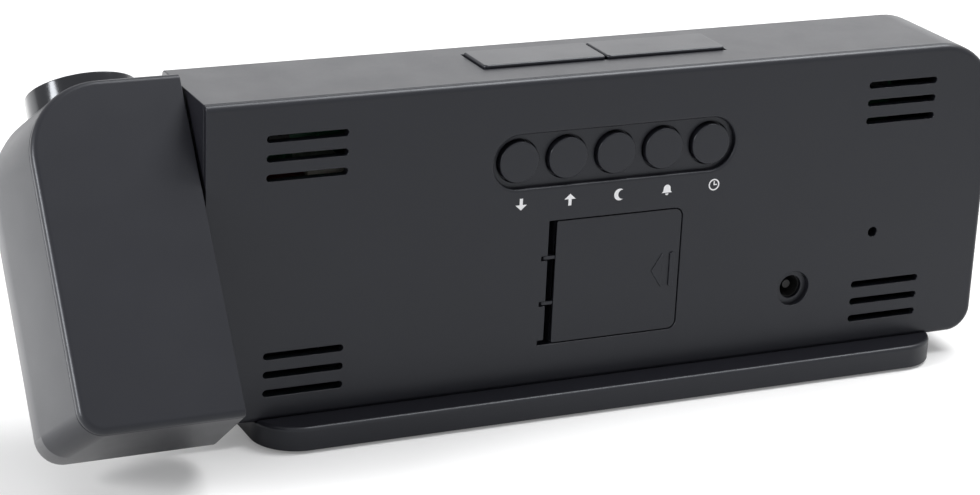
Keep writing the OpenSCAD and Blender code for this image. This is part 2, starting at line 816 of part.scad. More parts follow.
module top_switches() {
    color(part_black) for (side = [1, -1])
        translate([side * (pad_len + pad_split) / 2, 0, 0]) difference() {
            translate([-switch_side / 2, board_rear_y, top_switch_z - top_switch_h])
                cube([switch_side, top_switch_w, top_switch_h]);
            bar_z([0, top_plunger_y, top_switch_z - plunger_in - 2 * key_travel],
                top_plunger_d + 2 * tap_fit, top_switch_h);
        }
}

module left_top_pad() top_pad(-1);
module right_top_pad() top_pad(1);
module left_top_plunger() top_plunger(-1);
module right_top_plunger() top_plunger(1);

// ---------------------------------------------------------------- battery, power, sound

module battery_lid() {
    ridge = [1, 7];     // grip ridge near the free edge
    ridge_in = 1.6;     // from that edge
    arrow = [2.2, 6.8]; // triangle that points to the tabs
    arrow_in = 3.7;
    out_x = lid_x - lid_l / 2;
    color(shell_black) {
        standing(lid_y + lid_t + lid_ridge_t, bay_z) translate([out_x + ridge_in, 0, 0])
            linear_extrude(lid_ridge_t + fit) rotate(90) slot(ridge[1], ridge[0]);
        standing(lid_y + lid_t + lid_mark_t, bay_z) translate([out_x + arrow_in, 0, 0])
            linear_extrude(lid_mark_t + fit)
                polygon([[arrow[0], 0], [0, arrow[1] / 2], [0, -arrow[1] / 2]]);
        standing(lid_y + lid_t, bay_z)
            translate([lid_x, 0, 0]) linear_extrude(lid_t) outline(lid_l, lid_h, [0.3, 1.6, 1.6, 0.3]);
        for (s = [1, -1]) translate([0, 0, tab_z(s) - lid_tab_w / 2]) {
            translate([lid_x, tab_y - tab_t / 2, 0]) cube([tab_x - lid_x, tab_t, lid_tab_w]);
            bar_z([tab_x, tab_y, 0], tab_t, lid_tab_w);
        }
    }
}

module coin_cell() {
    color([0.8, 0.8, 0.82]) {
        bar_y([cell_x, cell_y, bay_z], cell_d - 2.2, 1);
        translate([cell_x, cell_y + 0.4, bay_z]) rotate([-90, 0, 0])
            soft_disc(cell_d, cell_t - 0.4, 0.5);
    }
}

module cell_contacts() {
    strip_w = 4;
    clip_w = 1.8;
    color([0.82, 0.76, 0.55]) {
        // Flat spring under the cell
        translate([cell_x - 6, pocket_y, bay_z - strip_w / 2]) cube([12, contact_t, strip_w]);
        translate([cell_x - 1.5, pocket_y, bay_z - strip_w / 2])
            cube([3, cell_y - pocket_y, strip_w]);
        // Clip beside the cell's rim
        translate([cell_x - clip_w / 2, cell_y, bay_z + cell_d / 2]) cube([clip_w, cell_t - 0.6, fit]);
    }
}

module dc_jack() {
    color(part_black) difference() {
        translate([jack_x, cover_in_y - jack_l / 2, jack_z])
            cube([jack_side, jack_l, jack_side], center = true);
        bar_y([jack_x, cover_in_y - jack_l + 1.5, jack_z], jack_bore_d, jack_l);
    }
}

module jack_contacts() {
    color(steel) {
        bar_y([jack_x, cover_in_y - jack_l + 1.5, jack_z], jack_pin_d, jack_l - 2.3);
        for (s = [1, -1])
            translate([jack_x + s * 2.5, cover_in_y - jack_l - 0.8, jack_z])
                cube([0.6, 1.6, 2.4], center = true);
    }
}

module buzzer() {
    color(part_black) difference() {
        bar_y([buzzer_x, cover_in_y - buzzer_t, buzzer_z], buzzer_d, buzzer_t);
        bar_y([buzzer_x, cover_in_y - 1.5, buzzer_z], sound_hole_d, 1.5 + cut);
    }
}

// ---------------------------------------------------------------- foot

module foot_bar() {
    color(shell_black) difference() {
        translate([0, 0, pad_proud])
            soft_block(foot_l, foot_w, foot_h + foot_rise, [for (k = [0:3]) foot_corner_r], 0,
                foot_edge_r);
        // The body stands between the two rims
        translate([-foot_l / 2 - cut, -rear_y - fit, base_z])
            cube([foot_l + 2 * cut, 2 * (rear_y + fit), foot_rise + cut]);
        linear_extrude(pad_t) outline(pad_l + 2 * fit, pad_w + 2 * fit, [3, 3, 3, 3]);
        at_foot_screws() {
            bar_z([0, 0, 0], foot_head_d + 4 * fit, foot_head_z + foot_head_t);
            bar_z([0, 0, 0], foot_screw_d + 2 * fit, base_z + cut);
        }
    }
}

module foot_pad() {
    color([0.07, 0.07, 0.07]) linear_extrude(pad_t) outline(pad_l, pad_w, [3, 3, 3, 3]);
}

module foot_screws() {
    color(steel) at_foot_screws() {
        bar_z([0, 0, foot_head_z], foot_head_d, foot_head_t);
        bar_z([0, 0, foot_head_z + foot_head_t - fit], foot_screw_d, foot_screw_l + fit);
    }
}

// ---------------------------------------------------------------- projector

// Everything on the projector is drawn upright and then tilted about the pivot
module tilted() {
    translate([0, pivot_y, pivot_z]) rotate([proj_tilt, 0, 0]) translate([0, -pivot_y, -pivot_z])
        children();
}

// Flat side towards the body, rounded corners outwards
module proj_outline(w, inset) {
    translate([proj_x + w / 2, 0])
        mirror([1, 0]) outline(w - 2 * inset, proj_h - 2 * inset, shrink(proj_r, inset));
}

// The shell's outer form, drawn in by inset: flat to the rear, bulging outwards, soft in front
module projector_form(inset) {
    form_z = (proj_z + proj_top) / 2;
    r = proj_front_r - inset / 2;
    front = -rear_y + inset;
    wide = proj_w + proj_bulge;
    high_r = proj_top_r - inset;
    low_r = max(proj_low_r, r);
    hull() {
        standing(seam_y - groove_w + (inset > 0 ? cut : 0), form_z)
            linear_extrude(0.2) proj_outline(proj_w, inset, $fn = form_fn);
        standing(-rear_y * 0.2, form_z) linear_extrude(0.2) proj_outline(wide, inset, $fn = form_fn);
        for (z = [proj_z + inset + r, proj_top - inset - r])
            translate([proj_x + inset, front + r, z]) rotate([0, 90, 0])
                cylinder(h = 0.2, r = r, $fn = form_fn);
        translate([proj_x + wide - inset - low_r, front + r, proj_z + inset + low_r])
            sphere(r, $fn = form_fn);
        translate([proj_x + wide - inset - high_r, front + r, proj_top - inset - high_r])
            rotate([90, 0, 0]) rotate_extrude(angle = 90, $fn = form_fn)
                translate([high_r - r, 0]) circle(r);
    }
}

module projector_shell() {
    form_z = (proj_z + proj_top) / 2;
    color(shell_black) tilted() difference() {
        union() {
            difference() {
                union() {
                    projector_form(0);
                    standing(seam_y, form_z) linear_extrude(groove_w + cut) proj_outline(proj_w, groove_d);
                }
                projector_form(proj_wall);
            }
            bar_z([lens_x, 0, ring_z], collar_d, collar_top - ring_z);
            // Shelves that carry the lamp's board
            for (x = [proj_x + proj_wall - fit, proj_x + proj_w - proj_wall - 3])
                translate([x, -proj_board_w / 2, proj_board_z - shelf_h])
                    cube([4, proj_board_w, shelf_h]);
            bar_x([proj_x - proj_gap + fit, pivot_y, pivot_z], thrust_ring_d, proj_gap);
        }
        bar_z([lens_x, 0, ring_z - cut], ring_bore_d + 2 * fit, collar_top - ring_z + 2 * cut);
        bar_z([lens_x, 0, ring_z - cut], ring_flange_d + 2 * fit, ring_flange_t + fit + cut);
        bar_x([proj_x - cut, pivot_y, pivot_z], shaft_d + 2 * tap_fit, proj_wall + 2 * cut);
    }
}

module projector_cover() {
    form_z = (proj_z + proj_top) / 2;
    color(shell_black) tilted() {
        standing(rear_y, form_z) translate([proj_x + proj_w / 2, 0, 0]) mirror([1, 0, 0])
            soft_block(proj_w, proj_h, cover_rim, proj_r, edge_r, 0);
        difference() {
            standing(seam_y + cut / 4, form_z) linear_extrude(proj_lip_h + cut / 4) difference() {
                proj_outline(proj_w, proj_wall + fit);
                proj_outline(proj_w, proj_wall + fit + lip_t);
            }
            // The lip stays clear of the lens collar and of the shaft's flange
            bar_z([lens_x, 0, ring_z - cut], collar_d + 2 * fit, proj_top - ring_z + cut);
            bar_x([proj_x, pivot_y, pivot_z], shaft_flange_d + 2 * fit, proj_w / 3);
        }
    }
}

module focus_ring() {
    teeth = 24;
    color([0.16, 0.16, 0.17]) tilted() translate([lens_x, 0, 0]) difference() {
        union() {
            translate([0, 0, ring_z]) soft_disc(ring_bore_d, ring_top - ring_z, 0.3);
            bar_z([0, 0, ring_z], ring_flange_d, ring_flange_t);
        }
        bar_z([0, 0, ring_z - cut], cell_tube_d + 2 * fit, ring_top - ring_z + 2 * cut);
        // Grip notches round the top
        for (k = [0:teeth - 1])
            rotate(k * 360 / teeth)
                translate([ring_bore_d / 2, 0, ring_top - 0.5]) cube([1.6, 0.8, 2], center = true);
    }
}

module lens_cell() {
    color(part_black) tilted() difference() {
        bar_z([lens_x, 0, cell_tube_z], cell_tube_d, cell_tube_l);
        bar_z([lens_x, 0, cell_tube_z - cut], lens_d - 2, cell_tube_l + 2 * cut);
        bar_z([lens_x, 0, cell_tube_z + lens_seat], lens_d + 2 * fit, cell_tube_l);
    }
}

// Lens with a flat lower face and a domed upper one: a disc cut by a sphere
module domed_lens(d, t, edge) {
    sag = t - edge;
    r = (pow(d / 2, 2) + sag * sag) / (2 * sag);
    intersection() {
        cylinder(h = t, d = d, $fn = round_fn);
        translate([0, 0, t - r]) sphere(r, $fn = 128);
    }
}

module projection_lens() {
    color([0.8, 0.9, 0.95], 0.5) tilted()
        translate([lens_x, 0, cell_tube_z + lens_seat + fit / 2]) domed_lens(lens_d, lens_t, 1.6);
}

module light_tube() {
    color(part_black) tilted() difference() {
        union() {
            bar_z([lens_x, 0, tube_top - tube_l], tube_d, tube_l);
            bar_z([lens_x, 0, tube_top - 1.4], collar_d, 1.4);
        }
        bar_z([lens_x, 0, tube_top - tube_l - cut], lens_d, tube_l + 2 * cut);
        bar_z([lens_x, 0, tube_top - 3.4], cell_tube_d + 4 * fit, 4.4);
    }
}

module lcd_slide() {
    color([0.25, 0.3, 0.32], 0.7) tilted()
        translate([lens_x, 0, lcd_z + lcd_t / 2])
            cube([condenser_d + 2, condenser_d + 1, lcd_t], center = true);
}

module lamp_house() {
    color(part_black) tilted() difference() {
        translate([lens_x - lamp_side / 2, -lamp_side / 2, lamp_z]) cube([lamp_side, lamp_side, lamp_l]);
        bar_z([lens_x, 0, lamp_z - cut], condenser_d + 2 * fit, lamp_l + 2 * cut);
    }
}

module condenser_lens() {
    t = 5;
    color([0.8, 0.9, 0.95], 0.5) tilted()
        translate([lens_x, 0, lcd_z - t - 2 * fit]) domed_lens(condenser_d, t, 2);
}

module projection_led() {
    color([0.9, 0.2, 0.15]) tilted() translate([lens_x, 0, lamp_z]) {
        cylinder(h = 1, d = led_d + 0.8, $fn = round_fn);
        cylinder(h = 2.6, d = led_d, $fn = round_fn);
        translate([0, 0, 2.6]) difference() {
            sphere(d = led_d, $fn = round_fn);
            translate([0, 0, -led_d]) cube(2 * led_d, center = true);
        }
    }
}

module projector_board() {
    color(board_green) tilted()
        translate([proj_x + proj_wall + fit, -proj_board_w / 2, proj_board_z])
            cube([proj_w - 2 * proj_wall - 2 * fit, proj_board_w, board_t]);
}

module pivot_shaft() {
    start = body_l / 2 - shaft_inside;
    flange_x = proj_x + proj_wall;
    color([0.2, 0.2, 0.22]) tilted() difference() {
        union() {
            bar_x([start, pivot_y, pivot_z], shaft_d, flange_x - start + fit);
            bar_x([flange_x, pivot_y, pivot_z], shaft_flange_d, shaft_flange_t);
        }
        bar_x([start - cut, pivot_y, pivot_z], shaft_bore_d, flange_x - start + 4);
        // Groove that holds the retaining ring
        translate([groove_x() - tap_fit, 0, 0]) difference() {
            bar_x([0, pivot_y, pivot_z], shaft_d + cut, ring_t + 2 * tap_fit);
            bar_x([-cut, pivot_y, pivot_z], shaft_d - 2 * ring_groove, ring_t + 2 * cut);
        }
    }
}
function groove_x() = body_l / 2 - wall - bearing_l - washer_t - ring_t - tap_fit;

module friction_washer() {
    color(steel) difference() {
        bar_x([body_l / 2 - wall - bearing_l - washer_t, pivot_y, pivot_z], bearing_d, washer_t);
        bar_x([body_l / 2 - wall - bearing_l - washer_t - cut, pivot_y, pivot_z],
            shaft_d + 2 * shaft_gap, washer_t + 2 * cut);
    }
}

module retaining_ring() {
    color(steel) tilted() difference() {
        bar_x([groove_x(), pivot_y, pivot_z], bearing_d - 4 * fit, ring_t);
        bar_x([groove_x() - cut, pivot_y, pivot_z], shaft_d - 2 * ring_groove + 2 * tap_fit,
            ring_t + 2 * cut);
        translate([groove_x() - cut, pivot_y - shaft_d / 5, pivot_z - shaft_d])
            cube([ring_t + 2 * cut, 0.4 * shaft_d, shaft_d]);
    }
}

module projector_lead() {
    low = proj_board_z + board_t;
    color([0.7, 0.12, 0.1]) tilted() {
        bar_x([lead_end, pivot_y, pivot_z], lead_d, lead_x - lead_end);
        translate([lead_x, pivot_y, pivot_z]) sphere(d = lead_d, $fn = round_fn);
        bar_z([lead_x, pivot_y, low], lead_d, pivot_z - low);
    }
}

front_housing();
rear_cover();
display_window();
light_mask();
digit_segments();
display_leds();
main_board();
controller_chip();
quartz_crystal();
board_screws();
lead_connector();
key_board();
key_board_screws();
rear_switches();
down_button();
up_button();
snooze_button();
alarm_button();
set_button();
down_plunger();
up_plunger();
snooze_plunger();
alarm_plunger();
set_plunger();
left_top_pad();
right_top_pad();
left_top_plunger();
right_top_plunger();
top_switches();
battery_lid();
coin_cell();
cell_contacts();
dc_jack();
jack_contacts();
buzzer();
foot_bar();
foot_pad();
foot_screws();
projector_shell();
projector_cover();
focus_ring();
lens_cell();
projection_lens();
light_tube();
lcd_slide();
condenser_lens();
lamp_house();
projection_led();
projector_board();
pivot_shaft();
friction_washer();
retaining_ring();
projector_lead();
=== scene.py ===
import json
import math

import bmesh
import bpy
from mathutils import Euler, Matrix, Vector

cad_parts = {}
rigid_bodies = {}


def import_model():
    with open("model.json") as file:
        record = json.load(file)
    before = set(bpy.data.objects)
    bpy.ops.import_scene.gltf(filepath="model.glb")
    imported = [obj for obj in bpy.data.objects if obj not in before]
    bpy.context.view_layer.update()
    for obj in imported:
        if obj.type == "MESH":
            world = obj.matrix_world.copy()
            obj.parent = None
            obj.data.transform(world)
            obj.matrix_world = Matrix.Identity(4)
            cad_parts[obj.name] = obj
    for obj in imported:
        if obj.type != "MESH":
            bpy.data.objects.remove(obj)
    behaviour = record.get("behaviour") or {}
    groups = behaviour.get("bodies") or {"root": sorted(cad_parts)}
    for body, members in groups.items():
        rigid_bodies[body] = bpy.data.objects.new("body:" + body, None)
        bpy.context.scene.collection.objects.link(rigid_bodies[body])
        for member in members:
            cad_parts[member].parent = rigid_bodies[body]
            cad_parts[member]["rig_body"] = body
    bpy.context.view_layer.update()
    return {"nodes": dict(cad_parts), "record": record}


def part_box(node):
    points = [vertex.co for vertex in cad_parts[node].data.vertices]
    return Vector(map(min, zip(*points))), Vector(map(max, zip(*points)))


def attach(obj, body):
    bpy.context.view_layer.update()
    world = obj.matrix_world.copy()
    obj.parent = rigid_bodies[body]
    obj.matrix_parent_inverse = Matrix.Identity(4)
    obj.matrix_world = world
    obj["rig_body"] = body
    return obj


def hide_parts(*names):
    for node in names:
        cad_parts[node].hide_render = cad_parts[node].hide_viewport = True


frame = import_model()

nodes = frame["nodes"]

MM = 0.001
TILT = math.radians(37)         # the projector's tilt at rest
PIVOT = Vector((82.3, 3.7, 47.6)) * MM
REAR_Y = 12.4                   # the flat rear face, in mm
BODY_END = 82.0                 # the end of the body by the projector, in mm


def place_of(node):
    """Lowest corner, highest corner and middle of a CAD node."""
    low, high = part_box(node)
    return low, high, (low + high) / 2


# ---------------------------------------------------------------- shader maths

class Socket:
    """A shader socket that takes Python's operators, each of which adds a Math node."""

    def __init__(self, shader, out):
        self.shader = shader
        self.out = out

    def _maths(self, operation, first, second):
        return self.shader.node("Math", {"operation": operation}, {0: first, 1: second})

    def __add__(self, other):
        return self._maths("ADD", self, other)

    def __radd__(self, other):
        return self._maths("ADD", other, self)

    def __sub__(self, other):
        return self._maths("SUBTRACT", self, other)

    def __mul__(self, other):
        return self._maths("MULTIPLY", self, other)

    def __gt__(self, other):
        return self._maths("GREATER_THAN", self, other)


class Shader:
    """The node tree of a material or a world, built node by node."""

    def __init__(self, owner):
        owner.use_nodes = True
        self.tree = owner.node_tree
        self.tree.nodes.clear()

    def node(self, kind, settings=None, sockets=None, out=0):
        """Adds a node: its settings first, then the values or links of its sockets."""
        made = self.tree.nodes.new("ShaderNode" + kind)
        for key, value in (settings or {}).items():
            setattr(made, key, value)
        for key, value in (sockets or {}).items():
            if isinstance(value, Socket):
                self.tree.links.new(value.out, made.inputs[key])
            else:
                made.inputs[key].default_value = value
        return Socket(self, made.outputs[out])

    def end_in(self, kind, shader):
        """Links the finished shader to the tree's output node."""
        output = self.tree.nodes.new("ShaderNode" + kind)
        self.tree.links.new(shader.out, output.inputs["Surface"])


class Finish(Shader):
    """A procedural material."""

    def __init__(self, name):
        self.material = bpy.data.materials.new(name)
        super().__init__(self.material)

    def object_point(self, scale=(1, 1, 1)):
        """Object coordinates, stretched by scale, so that 1 is one metre."""
        point = self.node("TexCoord", out="Object")
        if scale == (1, 1, 1):
            return point
        return self.node("Mapping", None, {"Vector": point, "Scale": scale}, "Vector")

    def noise(self, grain_mm, detail=2.0, rough=0.5, scale=(1, 1, 1)):
        """Noise whose grains are about grain_mm across, from 0 to 1."""
        return self.node("TexNoise", {"noise_dimensions": "3D"},
                         {"Vector": self.object_point(scale), "Scale": 1000 / grain_mm,
                          "Detail": detail, "Roughness": rough}, "Fac")

    def along(self, axis):
        """How far a point lies along X, Y or Z, in metres."""
        return self.node("SeparateXYZ", None, {"Vector": self.object_point()}, axis)

    def ramp(self, value, start, end):
        """Rises smoothly from 0 at start to 1 at end."""
        return self.node("MapRange", {"interpolation_type": "SMOOTHSTEP"},
                         {"Value": value, "From Min": start, "From Max": end})

    def cells(self, grain_mm):
        """Distance to the nearest of scattered points that are about grain_mm apart."""
        return self.node("TexVoronoi", None,
                         {"Vector": self.object_point(), "Scale": 1000 / grain_mm}, "Distance")

    def between(self, factor, first, second):
        """Colour that goes from first to second with factor."""
        return self.node("Mix", {"data_type": "RGBA"}, {0: factor, 6: first, 7: second}, 2)

    def bump(self, height, depth_mm):
        """Normal of a surface that rises by depth_mm where height goes from 0 to 1."""
        return self.node("Bump", None, {"Height": height, "Distance": depth_mm * MM, "Strength": 1.0})

    def surface(self, **sockets):
        """Ends the material in one Principled shader."""
        names = {key.replace("_", " "): value for key, value in sockets.items()}
        self.end_in("OutputMaterial", self.node("BsdfPrincipled", None, names))


def grey(value, blue=0.0):
    """Grey, with its blue raised by a share of value."""
    return (value, value, value * (1 + blue), 1.0)


COOL = (0.91, 0.945, 1.0, 1.0)   # tint of what the dark plastic reflects


# ---------------------------------------------------------------- finishes

def moulded_plastic(name, colour, shade, spark_mm, depth_mm, rough):
    """Dark moulded plastic: a fine spark-eroded grain, faint flow marks and uneven sheen."""
    f = Finish(name)
    spark = f.noise(spark_mm, 3.0, 0.6)
    flow = f.noise(28, 2.0, 0.5)
    sheen = f.noise(9, 3.0, 0.6)
    tint = f.between(flow, colour, shade)
    uneven = rough + (sheen - 0.5) * 0.10 + (spark - 0.5) * 0.06
    f.surface(Base_Color=tint, Roughness=uneven, IOR=1.44, Specular_Tint=COOL,
              Normal=f.bump(spark, depth_mm))
    return f.material


WINDOW_ALPHA = 0.62     # of each face: light crosses two of them


def tinted_window():
    """Half-mirrored smoked acrylic: very smooth, with faint wipe marks."""
    f = Finish("tinted_window")
    wipe = f.noise(30, 3.0, 0.6, (1, 1, 6))
    f.surface(Base_Color=f.between(wipe, grey(0.006), grey(0.010, 0.2)), Roughness=0.03 + wipe * 0.03,
              Alpha=WINDOW_ALPHA, IOR=1.49, Normal=f.bump(wipe, 0.002))
    return f.material


def white_print():
    """Pad-printed white ink, a little thin and uneven."""
    f = Finish("white_print")
    thin = f.noise(0.35, 3.0, 0.7)
    f.surface(Base_Color=f.between(thin, grey(0.72), grey(0.88, 0.03)), Roughness=0.45 + thin * 0.15,
              Normal=f.bump(thin, 0.006))
    return f.material


SHADE_PAINT_REACH = 0.3 * MM  # how far the black painted shade goes in from the reflector's rear face


def reflector_white():
    """White reflector whose rear face is painted black as painted shade, so that it reads dark through the
    vents.
    """
    f = Finish("reflector_white")
    speck = f.noise(1.5, 3.0, 0.6)
    painted_shade_back = f.along("Y") > place_of("light_mask")[1].y - SHADE_PAINT_REACH
    white = f.between(speck, grey(0.74), grey(0.82))
    # painted shade: the rear face is near black, so that the reflector reads dark through the vents
    f.surface(Base_Color=f.between(painted_shade_back, white, grey(0.01)), Roughness=0.4 + speck * 0.15,
              Normal=f.bump(speck, 0.01))
    return f.material


def milky_segment():
    """Light bar that is switched off."""
    f = Finish("milky_segment")
    haze = f.noise(2.2, 2.0, 0.5)
    f.surface(Base_Color=f.between(haze, (0.42, 0.30, 0.29, 1), (0.52, 0.40, 0.38, 1)),
              Roughness=0.3 + haze * 0.1, Normal=f.bump(haze, 0.006))
    return f.material


GLOW = 9.0              # strength of a light bar that is switched on
GLOW_DEPTH = 0.3        # share of a bar's depth, from its front, that glows


def lit_segment():
    """Light bar that is switched on, with an uneven glow on its front part alone."""
    f = Finish("lit_segment")
    haze = f.noise(3.0, 2.0, 0.5)
    glow = f.between(haze, (1.0, 0.055, 0.02, 1), (1.0, 0.11, 0.05, 1))
    low, high = place_of("digit_segments")[:2]
    behind = f.along("Y") > low.y + GLOW_DEPTH * (high.y - low.y)
    f.surface(Base_Color=(0.5, 0.03, 0.02, 1), Roughness=0.35 + haze * 0.1,
              Emission_Color=f.between(behind, glow, grey(0.0)), Emission_Strength=GLOW)
    return f.material


def small_lamp():
    """Yellowish resin of a small LED."""
    f = Finish("small_lamp")
    haze = f.noise(0.6, 2.0, 0.5)
    f.surface(Base_Color=f.between(haze, (0.75, 0.62, 0.2, 1), (0.85, 0.78, 0.4, 1)),
              Roughness=0.25 + haze * 0.15, Normal=f.bump(haze, 0.01))
    return f.material


def circuit_board():
    """Solder mask over a copper pour with tracks."""
    f = Finish("circuit_board")
    tracks = f.node("TexBrick", {"offset": 0.5, "squash": 1.0},
                    {"Vector": f.object_point(), "Scale": 260.0, "Mortar Size": 0.06,
                     "Mortar Smooth": 0.1, "Brick Width": 1.7, "Row Height": 0.45}, "Fac")
    haze = f.noise(4, 3.0, 0.6)
    mask = f.between(tracks, (0.012, 0.085, 0.035, 1), (0.025, 0.17, 0.07, 1))
    f.surface(Base_Color=f.between(haze * 0.4, mask, (0.01, 0.06, 0.03, 1)), Roughness=0.28 + haze * 0.12,
              Coat_Weight=0.3, Coat_Roughness=0.15, Normal=f.bump(tracks, 0.03))
    return f.material


def black_resin():
    """Black moulded resin of chips, switches and inner holders."""
    f = Finish("black_resin")
    grain = f.noise(0.25, 3.0, 0.6)
    cloud = f.noise(5, 2.0, 0.5)
    f.surface(Base_Color=f.between(cloud, grey(0.012), grey(0.022)), Roughness=0.45 + (grain - 0.5) * 0.2,
              Normal=f.bump(grain, 0.02))
    return f.material


def natural_nylon():
    """Uncoloured nylon of the plungers and the connector."""
    f = Finish("natural_nylon")
    cloud = f.noise(3, 3.0, 0.6)
    f.surface(Base_Color=f.between(cloud, (0.66, 0.62, 0.52, 1), (0.78, 0.75, 0.67, 1)),
              Roughness=0.42 + cloud * 0.12, Normal=f.bump(cloud, 0.01))
    return f.material


def plated_steel():
    """Rolled and plated steel, with fine drawn lines along the clock."""
    f = Finish("plated_steel")
    drawn = f.noise(0.18, 4.0, 0.7, (0.06, 1, 1))
    cloud = f.noise(6, 2.0, 0.5)
    f.surface(Base_Color=f.between(cloud, grey(0.55), grey(0.68, 0.03)), Metallic=1.0,
              Roughness=0.22 + drawn * 0.2, Normal=f.bump(drawn, 0.004))
    return f.material


def steel_in_painted_shade():
    """Screws painted near black as painted shade, as they sit in the dark behind the vents."""
    f = Finish("steel_in_painted_shade")
    cloud = f.noise(1.0, 3.0, 0.6)
    # painted shade: near black base colour stands for the shade behind the vents
    f.surface(Base_Color=f.between(cloud, grey(0.018), grey(0.035)), Metallic=0.6,
              Roughness=0.38 + cloud * 0.2, Normal=f.bump(cloud, 0.006))
    return f.material


def tin_in_painted_shade():
    """Tin plate painted near black as painted shade, for the socket's contacts deep in the socket."""
    f = Finish("tin_in_painted_shade")
    cloud = f.noise(0.8, 3.0, 0.6)
    # painted shade: near black base colour stands for the unlit depth of the socket
    f.surface(Base_Color=f.between(cloud, grey(0.015), grey(0.03)), Metallic=0.6,
              Roughness=0.30 + cloud * 0.2, Normal=f.bump(cloud, 0.004))
    return f.material


def spring_brass():
    """Drawn brass strip of the cell's contacts."""
    f = Finish("spring_brass")
    drawn = f.noise(0.15, 4.0, 0.7, (0.08, 1, 1))
    f.surface(Base_Color=f.between(drawn, (0.62, 0.48, 0.22, 1), (0.78, 0.66, 0.40, 1)), Metallic=1.0,
              Roughness=0.25 + drawn * 0.18, Normal=f.bump(drawn, 0.004))
    return f.material


def foam_rubber():
    """Black foam rubber with open pores."""
    f = Finish("foam_rubber")
    pores = f.cells(0.5)
    cloud = f.noise(7, 3.0, 0.6)
    f.surface(Base_Color=f.between(cloud, grey(0.012), grey(0.028)), Roughness=0.82 + cloud * 0.1,
              Normal=f.bump(pores, 0.12))
    return f.material


def clear_acrylic():
    """Clear moulded lenses."""
    f = Finish("clear_acrylic")
    faint = f.noise(5, 2.0, 0.5)
    f.surface(Base_Color=(0.97, 0.985, 1.0, 1), Roughness=0.01 + faint * 0.02, IOR=1.49,
              Transmission_Weight=1.0, Normal=f.bump(faint, 0.002))
    return f.material


def liquid_crystal():
    """Polarised glass slide."""
    f = Finish("liquid_crystal")
    grid = f.node("TexBrick", {"offset": 0.0},
                  {"Vector": f.object_point(), "Scale": 900.0, "Mortar Size": 0.04,
                   "Brick Width": 0.5, "Row Height": 0.5}, "Fac")
    f.surface(Base_Color=f.between(grid, (0.10, 0.13, 0.12, 1), (0.16, 0.20, 0.19, 1)),
              Roughness=0.08 + grid * 0.05, Alpha=0.8, Normal=f.bump(grid, 0.003))
    return f.material


def insulated_lead():
    """Red insulation of the lead bundle, darkened as painted shade, as it lies deep behind the vents."""
    f = Finish("insulated_lead")
    cloud = f.noise(1.2, 3.0, 0.6)
    # red insulation, with its darkness partly painted shade for its place deep in the housing
    f.surface(Base_Color=f.between(cloud, (0.06, 0.006, 0.006, 1), (0.10, 0.012, 0.010, 1)),
              Roughness=0.45 + cloud * 0.15, Normal=f.bump(cloud, 0.02))
    return f.material


finishes = {
    "housing": moulded_plastic("satin_housing", grey(0.0062, 0.40), grey(0.0085, 0.40), 0.22, 0.008, 0.36),
    "key": moulded_plastic("satin_key", grey(0.0065, 0.40), grey(0.0085, 0.40), 0.16, 0.004, 0.32),
    "collar": moulded_plastic("polished_collar", grey(0.006, 0.2), grey(0.008, 0.2), 0.5, 0.001, 0.13),
    "window": tinted_window(),
    "print": white_print(),
    "mask": reflector_white(),
    "segment": milky_segment(),
    "lit": lit_segment(),
    "led": small_lamp(),
    "board": circuit_board(),
    "black_part": black_resin(),
    "pale_part": natural_nylon(),
    "steel": plated_steel(),
    "contact": spring_brass(),
    "pin": tin_in_painted_shade(),
    "screw": steel_in_painted_shade(),
    "pad": foam_rubber(),
    "lens": clear_acrylic(),
    "slide": liquid_crystal(),
    "lead": insulated_lead(),
}


# ---------------------------------------------------------------- meshes

WELD = 2e-6             # corners closer than this, in metres, become one
FLAT_DEG = 0.3          # triangles that meet at less than this become one face
ROUND_DEG = 32          # edges sharper than this are rounded
SMOOTH_DEG = 50         # faces that meet at less than this are shaded as one surface
ROUND_SHARE = 0.4       # most of a face's reach that an edge's rounding takes, the key rim's apart


def link(name, mesh):
    """A new object in the scene, at the origin."""
    made = bpy.data.objects.new(name, mesh)
    bpy.context.scene.collection.objects.link(made)
    return made


def merged(node):
    """A CAD node's mesh as a bmesh, with its triangles joined into closed faces."""
    bm = bmesh.new()
    bm.from_mesh(nodes[node].data)
    bmesh.ops.remove_doubles(bm, verts=bm.verts, dist=WELD)
    bmesh.ops.dissolve_limit(bm, angle_limit=math.radians(FLAT_DEG), verts=bm.verts, edges=bm.edges)
    return bm


def mesh_from(bm, name):
    """A new mesh from a bmesh, which is freed."""
    mesh = bpy.data.meshes.new(name)
    bm.to_mesh(mesh)
    bm.free()
    return mesh


def reach(face, edge):
    """How far a face reaches away from one of its edges."""
    return face.calc_area() / edge.calc_length()


def mark_soft_edges(bm, width_mm, widest_mm, is_broad):
    """Says how much of the widest rounding each outward edge takes, which is less beside a thin strip."""
    share = bm.edges.layers.float.new("bevel_weight_edge")
    for edge in bm.edges:
        if edge.is_convex and edge.calc_face_angle(0) > math.radians(ROUND_DEG):
            room = ROUND_SHARE * min(reach(face, edge) for face in edge.link_faces)
            if is_broad and is_broad(edge):
                edge[share] = 1.0
            else:
                edge[share] = min(width_mm * MM, room) / (widest_mm * MM)


def shade_by_area(mesh):
    """Corner normals that follow the broad faces, so that flat faces stay flat beside rounded edges."""
    around = [[] for _ in mesh.vertices]
    for face in mesh.polygons:
        for vertex in face.vertices:
            around[vertex].append(face)
    least = math.cos(math.radians(SMOOTH_DEG))
    corners = [Vector()] * len(mesh.loops)
    for face in mesh.polygons:
        for corner, vertex in zip(face.loop_indices, face.vertices):
            near = (other for other in around[vertex] if other.normal.dot(face.normal) > least)
            total = sum((other.normal * other.area for other in near), Vector())
            corners[corner] = total.normalized() if total.length else face.normal.copy()
    mesh.shade_smooth()
    mesh.normals_split_custom_set(corners)


